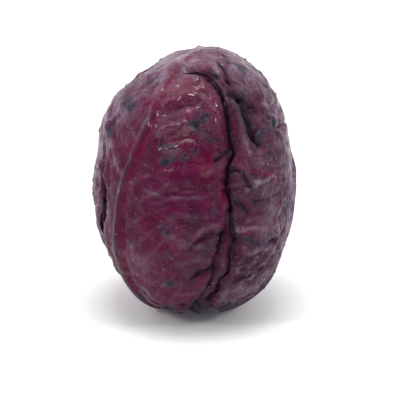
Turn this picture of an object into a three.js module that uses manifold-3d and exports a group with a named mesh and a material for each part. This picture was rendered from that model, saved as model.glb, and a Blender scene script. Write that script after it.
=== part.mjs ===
// Red cabbage head: overlapping wrapper leaves, the tight heart inside them and the stump that carries both.
// Millimetres. +Z runs up the stem, the flat cut of the stump is z = 0, and the front leaf's side faces -Y.
import * as THREE from 'three';
import { mergeVertices } from 'three/addons/utils/BufferGeometryUtils.js';
import Module from 'manifold-3d';

const wasm = await Module();
wasm.setup();

// Head shape: an egg with its centre at CENTRE_Z, whose top leans to the right. A power of 2 is an ellipse,
// and a higher one is squarer.
const CENTRE_Z = 73.5;
const HEAD_HALF_WIDTH = 70;
const HEAD_ABOVE_CENTRE = 110;
const HEAD_BELOW_CENTRE = 76;
const UPPER_POWER = 2.2;
const LOWER_POWER = 2.15;
const TOP_LEAN = 14;
const LEAN_SPREAD = 28;
const FLOOR_CLEARANCE = 1.4;
const FLOOR_BLEND = 2;

// Broad swells of the head: azimuth, angle from the top, height and spread.
const SWELLS = [
  [62, 44, 2.2, 16],
  [92, 57, -3.6, 11],
  [98, 86, 1.6, 18],
  [-88, 96, 1.8, 20],
  [8, 34, 1.2, 14],
  [-12, 96, 1.6, 24],
  [176, 62, 2.0, 22],
  [140, 104, -1.8, 18],
  [-140, 70, -1.6, 18],
  [-168, 112, 1.8, 22],
];

// Leaf build: each leaf takes one layer of LAYER, of which BLADE is leaf and the rest is air.
const LAYER = 2.85;
const BLADE = 1;
const MARGIN_BLADE = 0.6;
const HEART_GAP = 0.6;
const LEAF_CENTRE = 100;
const DIP_START = 1;
const DIP_END = 16;
const OUTLINE_SQUARENESS = 0.4;
const RIB_HALF_WIDTH = 5;
const RIB_HEIGHT_BASE = 3.2;
const RIB_HEIGHT_TIP = 0.5;
const RIB_COLUMNS = 0.4;
const MARGIN_START = 0.8;
const CURL_RISE = [-0.7, 0];
const CURL_FALL = [0.3, 0.9];

// Stump: a cone that narrows towards the head's centre, with a flat cut below.
const STUMP_ANGLE = 13;
const CUT_BEVEL = 0.8;
const STUMP_TOP = 58;
const STUMP_GAP = 0.4;
const STUMP_SIDES = 36;

// Meshing: sides and rings of the heart, and how near two corners are to count as one.
const HEART_GRID = [30, 20];
const SAME_CORNER = 1e-5;

const COLOURS = { leaf: 0x6b2f4c, heart: 0x7d3c63, stump: 0xd8cfae };
const ROUGHNESS = { leaf: 0.5, heart: 0.5, stump: 0.7 };

// Wrapper leaves from the outermost in. turn is the azimuth of the midrib from the front towards the right.
// reach is how far the blade spreads, in degrees from its middle: tip, tip right, right, base right,
// base, base left, left, tip left. sway bends the midrib sideways and curl lifts the free margin.
const LEAVES = [
  { name: 'left_leaf', turn: -136, reach: [72, 57, 74, 71, 85.6, 66, 70, 62], sway: -4, curl: 2 },
  { name: 'right_leaf', turn: 72, reach: [84, 64, 70, 68, 85.6, 64, 54, 54], sway: -5, curl: 2.6 },
  { name: 'front_leaf', turn: -56, reach: [80, 70, 71, 66, 85.6, 68, 68, 60], sway: 11, curl: 1.2 },
  { name: 'back_leaf', turn: 168, reach: [82, 64, 68, 67, 85.6, 66, 68, 62], sway: 5, curl: 1.4 },
  { name: 'seam_leaf', turn: 28, reach: [78, 62, 66, 66, 85.6, 66, 66, 60], sway: -3, curl: 0.6 },
  { name: 'sixth_leaf', turn: -108, reach: [74, 60, 66, 65, 85.6, 65, 66, 60], sway: 4, curl: 0 },
  { name: 'seventh_leaf', turn: 114, reach: [76, 60, 64, 65, 85.6, 64, 66, 60], sway: -4, curl: 0 },
  { name: 'eighth_leaf', turn: -22, reach: [72, 58, 64, 64, 85.6, 64, 64, 58], sway: 3, curl: 0 },
  { name: 'ninth_leaf', turn: -158, reach: [74, 58, 63, 64, 85.6, 63, 64, 58], sway: 4, curl: 0 },
  { name: 'tenth_leaf', turn: 60, reach: [72, 57, 62, 63, 85.6, 63, 62, 57], sway: -3, curl: 0 },
  { name: 'eleventh_leaf', turn: -78, reach: [70, 56, 62, 62, 85.6, 62, 62, 56], sway: 3, curl: 0 },
  { name: 'twelfth_leaf', turn: 146, reach: [70, 56, 61, 62, 85.6, 62, 61, 56], sway: -3, curl: 0 },
];
const SHOWN_LEAVES = 5;
const SHOWN_GRID = [18, 18];
const HIDDEN_GRID = [14, 19];

const rad = THREE.MathUtils.degToRad;
const deg = THREE.MathUtils.radToDeg;
const smooth = THREE.MathUtils.smoothstep;

// Unit direction from an azimuth (front towards right) and an angle from the top.
function direction(azimuth, fromTop) {
  const flat = Math.sin(rad(fromTop));
  const turn = rad(azimuth);
  return new THREE.Vector3(flat * Math.sin(turn), -flat * Math.cos(turn), Math.cos(rad(fromTop)));
}

const swells = SWELLS.map(([azimuth, fromTop, height, spread]) => ({
  centre: direction(azimuth, fromTop),
  height,
  spread: rad(spread),
}));

// Reach of the head's outer surface along a direction.
function headReach(n) {
  const power = n.z > 0 ? UPPER_POWER : LOWER_POWER;
  const half = n.z > 0 ? HEAD_ABOVE_CENTRE : HEAD_BELOW_CENTRE;
  const sideways = (Math.hypot(n.x, n.y) / HEAD_HALF_WIDTH) ** power;
  const upwards = (Math.abs(n.z) / half) ** power;
  const fromTop = deg(Math.acos(THREE.MathUtils.clamp(n.z, -1, 1)));
  let reach = (sideways + upwards) ** (-1 / power);
  reach += TOP_LEAN * n.x * Math.exp(-((fromTop / LEAN_SPREAD) ** 2));
  for (const swell of swells) {
    const away = n.angleTo(swell.centre) / swell.spread;
    reach += swell.height * Math.exp(-away * away);
  }
  return reach;
}

// Point at a depth under the outer surface and kept that much clear of the floor. raised lifts it outwards.
function headPoint(n, depth, raised = 0) {
  const p = n.clone().multiplyScalar(headReach(n) - depth + raised);
  p.z += CENTRE_Z;
  const lift = p.z - (FLOOR_CLEARANCE + depth);
  p.z += (Math.hypot(lift, FLOOR_BLEND) - lift) / 2;
  return p;
}

// A leaf's own axes: out (away from the stem), side (to its right) and up.
function leafAxes(leaf) {
  const out = direction(leaf.turn, 90);
  const side = direction(leaf.turn + 90, 90);
  return { out, side };
}

function outlineCurve(leaf) {
  const points = leaf.reach.map((value, i) => new THREE.Vector3(value, i, 0));
  return new THREE.CatmullRomCurve3(points, true, 'catmullrom', 0.5);
}

for (const leaf of LEAVES) {
  leaf.axes = leafAxes(leaf);
  leaf.outline = outlineCurve(leaf);
}

// Reach of a leaf's outline in the direction of an angle, 0 at the tip and 90 at the right.
function outlineReach(leaf, along, across) {
  const turns = Math.atan2(across, along) / (2 * Math.PI);
  return leaf.outline.getPoint((turns + 1) % 1).x;
}

// Direction of a leaf point: along is degrees up the leaf from its middle, across is degrees to its right.
function leafDirection(leaf, along, across) {
  const climb = rad(LEAF_CENTRE + along);
  const turn = rad(across);
  const n = leaf.axes.out.clone().multiplyScalar(Math.sin(climb) * Math.cos(turn));
  n.addScaledVector(leaf.axes.side, Math.sin(turn));
  n.z = -Math.cos(climb) * Math.cos(turn);
  return n.normalize();
}

// How far outside a leaf's outline a direction is, in degrees. Negative is inside.
function outsideLeaf(leaf, n) {
  const across = deg(Math.asin(THREE.MathUtils.clamp(n.dot(leaf.axes.side), -1, 1)));
  let along = deg(Math.atan2(n.dot(leaf.axes.out), -n.z)) - LEAF_CENTRE;
  if (along < -180) along += 360;
  const reach = outlineReach(leaf, along, across);
  const x = across / reach;
  const y = along / reach;
  const lean = OUTLINE_SQUARENESS / (1 - OUTLINE_SQUARENESS);
  const size = Math.sqrt(Math.max(x * x + lean * y * y, y * y + lean * x * x));
  return (size - 1) * reach;
}

function coverOf(leaf, n) {
  return 1 - smooth(outsideLeaf(leaf, n), DIP_START, DIP_END);
}

// Depth of a leaf under the outer surface, and how much of it is uncovered, from the leaves outside it.
function layerAt(order, n) {
  let depth = 0;
  let bare = 1;
  for (let i = 0; i < order; i += 1) {
    const cover = coverOf(LEAVES[i], n);
    depth += LAYER * cover;
    bare *= 1 - cover;
  }
  return { depth, bare };
}

// One leaf: a box grid carried onto the head. Grid x runs across the leaf, y runs up it, z is its thickness.
function leafGeometry(order) {
  const leaf = LEAVES[order];
  const shown = order < SHOWN_LEAVES;
  const [columns, rows] = shown ? SHOWN_GRID : HIDDEN_GRID;
  const crowding = shown ? RIB_COLUMNS : 1;
  const geometry = new THREE.BoxGeometry(2, 2, 1, columns, rows, 1);
  const position = geometry.attributes.position;
  const ribTurn = deg(RIB_HALF_WIDTH / HEAD_HALF_WIDTH);
  for (let i = 0; i < position.count; i += 1) {
    const a = position.getX(i) * THREE.MathUtils.lerp(crowding, 1, Math.abs(position.getX(i)));
    const b = position.getY(i);
    const outer = position.getZ(i) > 0;
    const acrossUnit = a * Math.sqrt(1 - OUTLINE_SQUARENESS * b * b);
    const alongUnit = b * Math.sqrt(1 - OUTLINE_SQUARENESS * a * a);
    const reach = outlineReach(leaf, alongUnit, acrossUnit);
    const along = alongUnit * reach;
    const middle = leaf.sway * Math.cos(rad(90 * b)) * (1 - Math.abs(a));
    const across = acrossUnit * reach + middle;
    const n = leafDirection(leaf, along, across);
    const { depth, bare } = layerAt(order, n);
    const toMargin = Math.max(Math.abs(a), Math.abs(b));
    const rib = Math.exp(-(((across - middle) / ribTurn) ** 2));
    const ribHeight = THREE.MathUtils.mapLinear(b, -1, 1, RIB_HEIGHT_BASE, RIB_HEIGHT_TIP);
    const curlAlong = smooth(b, ...CURL_RISE) * (1 - smooth(b, ...CURL_FALL));
    const curled = leaf.curl * smooth(Math.abs(a), MARGIN_START, 1) * curlAlong;
    const raised = bare * (ribHeight * rib + curled);
    const thickness = THREE.MathUtils.lerp(BLADE, MARGIN_BLADE, smooth(toMargin, MARGIN_START, 1));
    const p = outer ? headPoint(n, depth, raised) : headPoint(n, depth + thickness, bare * curled);
    position.setXYZ(i, p.x, p.y, p.z);
  }
  return geometry;
}

// The heart: the small inner leaves, folded too tightly to part, as one body under all the wrapper leaves.
function heartGeometry() {
  const geometry = new THREE.SphereGeometry(1, ...HEART_GRID);
  geometry.rotateX(Math.PI / 2);
  const position = geometry.attributes.position;
  for (let i = 0; i < position.count; i += 1) {
    const n = new THREE.Vector3().fromBufferAttribute(position, i).normalize();
    const { depth } = layerAt(LEAVES.length, n);
    const p = headPoint(n, depth + HEART_GAP);
    position.setXYZ(i, p.x, p.y, p.z);
  }
  return geometry;
}

function stumpProfile(gap) {
  const slope = Math.tan(rad(STUMP_ANGLE));
  const sideAt = (z) => (CENTRE_Z - z) * slope + gap;
  return [
    new THREE.Vector2(0, -gap),
    new THREE.Vector2(sideAt(0) - CUT_BEVEL, -gap),
    new THREE.Vector2(sideAt(CUT_BEVEL), CUT_BEVEL - gap),
    new THREE.Vector2(sideAt(STUMP_TOP / 2), STUMP_TOP / 2),
    new THREE.Vector2(sideAt(STUMP_TOP), STUMP_TOP + gap),
    new THREE.Vector2(0, STUMP_TOP + sideAt(STUMP_TOP) / 2 + gap),
  ];
}

// A closed solid from a geometry: corners joined and collapsed triangles left out.
function solid(geometry) {
  geometry.deleteAttribute('normal');
  geometry.deleteAttribute('uv');
  const joined = mergeVertices(geometry, SAME_CORNER);
  const corners = joined.index.array;
  const kept = [];
  for (let i = 0; i < corners.length; i += 3) {
    const [a, b, c] = corners.slice(i, i + 3);
    if (a !== b && b !== c && c !== a) kept.push(a, b, c);
  }
  const mesh = new wasm.Mesh({
    numProp: 3,
    vertProperties: new Float32Array(joined.attributes.position.array),
    triVerts: new Uint32Array(kept),
  });
  return new wasm.Manifold(mesh);
}

function meshOf(name, body, slot) {
  const { vertProperties, triVerts } = body.getMesh();
  const geometry = new THREE.BufferGeometry();
  geometry.setAttribute('position', new THREE.BufferAttribute(vertProperties, 3));
  geometry.setIndex(new THREE.BufferAttribute(triVerts, 1));
  geometry.computeVertexNormals();
  const look = { color: COLOURS[slot], roughness: ROUGHNESS[slot], metalness: 0 };
  const material = new THREE.MeshStandardMaterial(look);
  material.name = slot;
  const mesh = new THREE.Mesh(geometry, material);
  mesh.name = name;
  return mesh;
}

const head = new THREE.Group();
head.name = 'cabbage_head';

LEAVES.forEach((leaf, order) => {
  head.add(meshOf(leaf.name, solid(leafGeometry(order)), 'leaf'));
});

const stump = solid(new THREE.LatheGeometry(stumpProfile(0), STUMP_SIDES).rotateX(Math.PI / 2));
const pocket = solid(new THREE.LatheGeometry(stumpProfile(STUMP_GAP), STUMP_SIDES).rotateX(Math.PI / 2));
head.add(meshOf('heart', solid(heartGeometry()).subtract(pocket), 'heart'));
head.add(meshOf('stump', stump, 'stump'));

export default head;
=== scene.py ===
"""A wet red cabbage head on its cut stump: four big wrapper leaves and the eight that they cover.

Blender 4.5. Lengths inside the shape functions are millimetres and angles are degrees. Every mesh is made
in metres.
A place on the head is (azimuth, angle from the top): azimuth 0 is the front (-Y) and 90 is the right (+X).
"""
import math

import bpy
import numpy as np
from mathutils import Matrix, Vector
from mathutils.bvhtree import BVHTree


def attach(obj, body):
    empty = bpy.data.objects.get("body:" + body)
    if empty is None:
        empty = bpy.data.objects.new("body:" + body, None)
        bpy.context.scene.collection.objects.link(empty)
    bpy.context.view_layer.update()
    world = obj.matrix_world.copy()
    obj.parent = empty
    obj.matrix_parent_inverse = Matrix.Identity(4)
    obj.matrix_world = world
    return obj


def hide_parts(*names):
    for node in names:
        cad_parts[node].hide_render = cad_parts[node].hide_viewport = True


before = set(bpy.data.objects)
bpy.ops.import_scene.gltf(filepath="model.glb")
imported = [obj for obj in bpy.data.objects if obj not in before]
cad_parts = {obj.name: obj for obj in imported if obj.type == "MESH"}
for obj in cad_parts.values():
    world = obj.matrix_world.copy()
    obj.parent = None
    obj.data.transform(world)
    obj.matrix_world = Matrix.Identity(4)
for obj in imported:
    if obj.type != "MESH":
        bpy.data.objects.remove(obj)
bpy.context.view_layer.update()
MM = 0.001

# ---- Driving dimensions of the head, the same as in the CAD model ----
CENTRE_Z = 73.5
HEAD_HALF_WIDTH = 70
HEAD_ABOVE_CENTRE = 110
HEAD_BELOW_CENTRE = 76
UPPER_POWER = 2.2
LOWER_POWER = 2.15
TOP_LEAN = 14
LEAN_SPREAD = 28
FLOOR_CLEARANCE = 1.4
FLOOR_BLEND = 2
# Broad swells and hollows: azimuth, from top, height, spread
SWELLS = [
    (62, 44, 2.2, 16), (92, 57, -3.6, 11), (98, 86, 1.6, 18), (-88, 96, 1.8, 20), (8, 34, 1.2, 14),
    (-12, 96, 1.6, 24), (176, 62, 2.0, 22), (140, 104, -1.8, 18), (-140, 70, -1.6, 18),
    (-168, 112, 1.8, 22),
]
# Places where the blades sink or rise against the plain CAD solids
SETTLES = [
    (-95, 14, -5.5, 11), (-92, 42, 2.6, 12), (-92, 82, -2.2, 13), (-92, 126, -8, 22),
    (90, 15, -2, 9), (88, 26, -2.4, 10), (90, 110, -7.5, 27),
]

LEAF_CENTRE = 100
OUTLINE_SQUARENESS = 0.4
OUTLINE_STEPS = 720
OUTLINE_BLEND = 0.12
MEAN_RADIUS = 75
MM_PER_DEGREE = 1.28
LAYER = 1.9
BLADE = 0.9
DIP_START = 0.6
DIP_END = 7.5
TUCK_START = -12
TUCK_END = -3
TUCK_WIDTH = 9
TUCK_DEPTH = 3.2

rng = np.random.default_rng(20)


def smooth(x, low, high):
    t = np.clip((np.asarray(x, float) - low) / (high - low), 0, 1)
    return t * t * (3 - 2 * t)


def loop_spline(values, t):
    """Smooth closed curve through evenly spaced values, read at t in steps."""
    v = np.asarray(values, float)
    n = len(v)
    ahead, behind = np.roll(v, -1), np.roll(v, 1)
    system = 4 * np.eye(n) + np.roll(np.eye(n), 1, 1) + np.roll(np.eye(n), -1, 1)
    bend = np.linalg.solve(system, 6 * (ahead - 2 * v + behind))
    t = np.asarray(t, float) % n
    i = np.floor(t).astype(int) % n
    j = (i + 1) % n
    f = t - np.floor(t)
    g = 1 - f
    return g * v[i] + f * v[j] + ((g**3 - g) * bend[i] + (f**3 - f) * bend[j]) / 6


def direction(azimuth, from_top):
    a, p = np.radians(azimuth), np.radians(from_top)
    return np.stack([np.sin(p) * np.sin(a), -np.sin(p) * np.cos(a), np.cos(p)], -1)


def angle_between(n, m):
    return np.degrees(np.arccos(np.clip((n * m).sum(-1), -1, 1)))


def head_reach(n):
    """Reach from the centre along a direction: an egg whose top leans a little to the right."""
    above = n[..., 2] > 0
    power = np.where(above, UPPER_POWER, LOWER_POWER)
    half = np.where(above, HEAD_ABOVE_CENTRE, HEAD_BELOW_CENTRE)
    sideways = (np.hypot(n[..., 0], n[..., 1]) / HEAD_HALF_WIDTH) ** power
    upright = (np.abs(n[..., 2]) / half) ** power
    from_top = np.degrees(np.arccos(np.clip(n[..., 2], -1, 1)))
    reach = (sideways + upright) ** (-1 / power)
    reach = reach + TOP_LEAN * n[..., 0] * np.exp(-((from_top / LEAN_SPREAD) ** 2))
    for azimuth, from_top, height, spread in SWELLS + SETTLES:
        away = angle_between(n, direction(azimuth, from_top)) / spread
        reach = reach + height * np.exp(-away * away)
    return reach


def head_point(n, depth=0.0, raised=0.0):
    """Point at a depth under the head's surface and as clear of the floor. raised lifts it outwards."""
    p = (head_reach(n) - depth + raised)[..., None] * n
    p = p + np.array([0, 0, CENTRE_Z])
    lift = p[..., 2] - (FLOOR_CLEARANCE + depth)
    p[..., 2] += (np.hypot(lift, FLOOR_BLEND) - lift) / 2
    return p


# ---- Noise and cell patterns on the leaf surface ----
OCTAVES = 3
# How far a cell's centre strays from the middle of its square
CELL_STRAY = 0.42


def lattice_value(i, seed):
    """Random value from -1 to 1 that always belongs to a lattice place."""
    h = i[..., 0] * 374761393 + i[..., 1] * 668265263 + i[..., 2] * 2147483647 + seed * 1274126177
    h = h & 0xFFFFFFFF
    h = ((h ^ (h >> 13)) * 1103515245) & 0xFFFFFFFF
    h = ((h ^ (h >> 16)) * 2654435761) & 0xFFFFFFFF
    return (h >> 8) / float(1 << 23) - 1


def noise(p, size, seed):
    """Smooth noise from -1 to 1 with features of that size, in the units of p."""
    q = p / size + seed * 7.31
    base = np.floor(q).astype(np.int64)
    f = q - base
    f = f * f * f * (f * (f * 6 - 15) + 10)
    total = 0
    for dx in (0, 1):
        for dy in (0, 1):
            for dz in (0, 1):
                weight = (np.where(dx, f[..., 0], 1 - f[..., 0]) * np.where(dy, f[..., 1], 1 - f[..., 1])
                          * np.where(dz, f[..., 2], 1 - f[..., 2]))
                total = total + weight * lattice_value(base + np.array([dx, dy, dz]), seed)
    return total


def rough_noise(p, size, seed):
    total, gain = 0, 1.0
    for octave in range(OCTAVES):
        total = total + gain * noise(p, size / 2**octave, seed + octave)
        gain *= 0.5
    return total / (2 - 2 * gain)


def cell_border(u, v, seed):
    """Distance to the nearest border in a field of irregular cells about 1 across."""
    iu, iv = np.floor(u).astype(np.int64), np.floor(v).astype(np.int64)
    near = np.full(u.shape, 9.0)
    second = np.full(u.shape, 9.0)
    for du in (-1, 0, 1):
        for dv in (-1, 0, 1):
            cell = np.stack([iu + du, iv + dv, np.zeros_like(iu)], -1)
            cu = iu + du + 0.5 + CELL_STRAY * lattice_value(cell, seed)
            cv = iv + dv + 0.5 + CELL_STRAY * lattice_value(cell, seed + 1)
            d = np.hypot(u - cu, v - cv)
            closer = d < near
            second = np.where(closer, near, np.minimum(second, d))
            near = np.where(closer, d, near)
    return second - near


# ---- Leaves, from the outermost inwards ----
# turn is the azimuth a leaf faces, reach how far its blade spreads from its middle (tip, tip right, right,
# base right, base, base left, left, tip left), sway its midrib's sideways bow, cells its mesh's fineness,
# rib its midrib's height, creased how crumpled it is. margin redraws part of the outline and midrib the
# midrib, through places on the head. Near the tucked places (azimuth, from top, spread) the margin slips
# under its neighbour, so no edge shows.
LEAVES = [
    dict(name="left_leaf", turn=-136, reach=[72, 57, 74, 71, 85, 66, 70, 62], sway=-4, cells=(190, 205),
         rib=2.4, creased=0.8,
         margin=[(-96, 36), (-78, 47), (-66, 60), (-61, 75), (-66, 92), (-68, 106), (-76, 118)],
         tucked=[(-110, 22, 24), (-84, 40, 15)]),
    dict(name="right_leaf", turn=72, reach=[84, 64, 70, 68, 85, 64, 54, 54], sway=-3, cells=(205, 220),
         rib=2.6, creased=1.3,
         margin=[(-20, 16), (2, 18), (17, 20), (23, 27), (24, 36), (23, 43), (25, 49), (19, 62), (21, 75),
                 (23, 92), (20, 112), (10, 136)],
         midrib=[(92, 30), (86, 58), (73, 84), (75, 112), (60, 140)],
         tucked=[(-60, 12, 12), (-120, 14, 18), (150, 8, 14)]),
    dict(name="front_leaf", turn=-56, reach=[80, 70, 71, 66, 85, 68, 68, 60], sway=11, cells=(205, 220),
         rib=2.6, creased=0.7,
         margin=[(26, 22), (30, 34), (34, 48), (28, 62), (17, 75), (13, 90), (9, 106), (7, 120), (-2, 137)],
         midrib=[(-36, 12), (-34, 22), (-31, 32), (-36, 48), (-44, 66), (-47, 90), (-50, 118), (-56, 144)],
         tucked=[]),
    dict(name="back_leaf", turn=168, reach=[82, 64, 68, 67, 85, 66, 68, 62], sway=5, cells=(150, 165),
         rib=2.4, creased=1.0),
    dict(name="seam_leaf", turn=28, reach=[78, 62, 66, 66, 85, 66, 66, 60], sway=-3, cells=(120, 140),
         rib=1.2, creased=0.8),
    dict(name="sixth_leaf", turn=-108, reach=[74, 60, 66, 65, 85, 65, 66, 60], sway=4, cells=(52, 60)),
    dict(name="seventh_leaf", turn=114, reach=[76, 60, 64, 65, 85, 64, 66, 60], sway=-4, cells=(52, 60)),
    dict(name="eighth_leaf", turn=-22, reach=[72, 58, 64, 64, 85, 64, 64, 58], sway=3, cells=(52, 60)),
    dict(name="ninth_leaf", turn=-158, reach=[74, 58, 63, 64, 85, 63, 64, 58], sway=4, cells=(44, 52)),
    dict(name="tenth_leaf", turn=60, reach=[72, 57, 62, 63, 85, 63, 62, 57], sway=-3, cells=(44, 52)),
    dict(name="eleventh_leaf", turn=-78, reach=[70, 56, 62, 62, 85, 62, 62, 56], sway=3, cells=(44, 52)),
    dict(name="twelfth_leaf", turn=146, reach=[70, 56, 61, 62, 85, 62, 61, 56], sway=-3, cells=(44, 52)),
]


def corner_factor(angle):
    """How far the squarish outline reaches at an angle, against 1 straight up or across."""
    x, y = np.abs(np.sin(angle)), np.abs(np.cos(angle))
    lean = OUTLINE_SQUARENESS / (1 - OUTLINE_SQUARENESS)
    return 1 / np.sqrt(np.maximum(x * x + lean * y * y, y * y + lean * x * x))


def leaf_angles(leaf, n):
    """A direction as degrees up the leaf from its middle and degrees to its right."""
    across = np.degrees(np.arcsin(np.clip(n @ leaf["side"], -1, 1)))
    along = np.degrees(np.arctan2(n @ leaf["out"], -n[..., 2])) - LEAF_CENTRE
    along = np.where(along < -180, along + 360, along)
    return along, across


def leaf_direction(leaf, along, across):
    climb, turn = np.radians(LEAF_CENTRE + along), np.radians(across)
    n = (np.sin(climb) * np.cos(turn))[..., None] * leaf["out"] + np.sin(turn)[..., None] * leaf["side"]
    n[..., 2] += -np.cos(climb) * np.cos(turn)
    return n / np.linalg.norm(n, axis=-1, keepdims=True)


def prepare_leaf(leaf):
    """Fill in a leaf's usual values, its axes and its outline."""
    for option, usual in (("rib", 1.0), ("creased", 1.0), ("margin", []), ("midrib", []), ("tucked", [])):
        leaf.setdefault(option, usual)
    leaf["out"] = direction(leaf["turn"], 90)
    leaf["side"] = direction(leaf["turn"] + 90, 90)
    angles = np.linspace(0, 2 * np.pi, OUTLINE_STEPS + 1)
    outline = loop_spline(leaf["reach"], angles / (2 * np.pi) * 8)
    if leaf["margin"]:
        places = np.array(leaf["margin"], float)
        along, across = leaf_angles(leaf, direction(places[:, 0], places[:, 1]))
        at = np.arctan2(across, along) % (2 * np.pi)
        drawn = np.hypot(along, across) / corner_factor(at)
        order = np.argsort(at)
        at, drawn = at[order], drawn[order]
        redrawn = np.interp(angles, at, drawn)
        starts = smooth(angles, at[0] - OUTLINE_BLEND, at[0])
        inside = starts * (1 - smooth(angles, at[-1], at[-1] + OUTLINE_BLEND))
        outline = outline * (1 - inside) + redrawn * inside
    leaf["outline"] = outline


def outline_reach(leaf, along, across):
    turns = (np.arctan2(across, along) % (2 * np.pi)) / (2 * np.pi) * OUTLINE_STEPS
    return np.interp(turns, np.arange(OUTLINE_STEPS + 1), leaf["outline"])


def outside_leaf(leaf, n):
    """How far outside a leaf's outline a direction is, in degrees. Negative is inside."""
    along, across = leaf_angles(leaf, n)
    reach = outline_reach(leaf, along, across) * corner_factor(np.arctan2(across, along))
    return np.hypot(along, across) - reach


def tucked_share(leaf, n):
    """1 where a leaf's margin slips under its neighbour, 0 where it lies on top."""
    share = np.zeros(n.shape[:-1])
    for azimuth, from_top, spread in leaf["tucked"]:
        away = angle_between(n, direction(azimuth, from_top)) / spread
        share = np.maximum(share, np.exp(-away**4))
    return share


def cover_of(leaf, n):
    """1 under a leaf, falling to 0 outside it."""
    outside = outside_leaf(leaf, n)
    tucked = tucked_share(leaf, n)
    start = DIP_START + (TUCK_START - DIP_START) * tucked
    end = DIP_END + (TUCK_END - DIP_END) * tucked
    return 1 - smooth((outside - start) / (end - start), 0, 1)


for leaf in LEAVES:
    prepare_leaf(leaf)


def rib_line(leaf, along):
    """Sideways place of the midrib, in degrees."""
    if leaf["midrib"]:
        line = spline_directions(leaf["midrib"])
        up, over = leaf_angles(leaf, line)
        order = np.argsort(up)
        return np.interp(along, up[order], over[order])
    b = np.clip(along / leaf["reach"][0], -1, 1)
    return leaf["sway"] * np.cos(np.pi / 2 * b)


# ---- Folds and marks with set places ----
# A fold is (height or depth, half width, places), and its marks are painted along it: crease is painted
# shade, pale is bloom and painted highlight, bruise is bruising and painted shade.
def fold(height, width, places, crease=0.0, pale=0.0, blush=0.0, bruise=0.0, wet=0.0):
    paint = dict(crease=crease, pale=pale, blush=blush, bruise=bruise, wet=wet)
    return dict(height=height, width=width, places=places, paint=paint)


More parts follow.
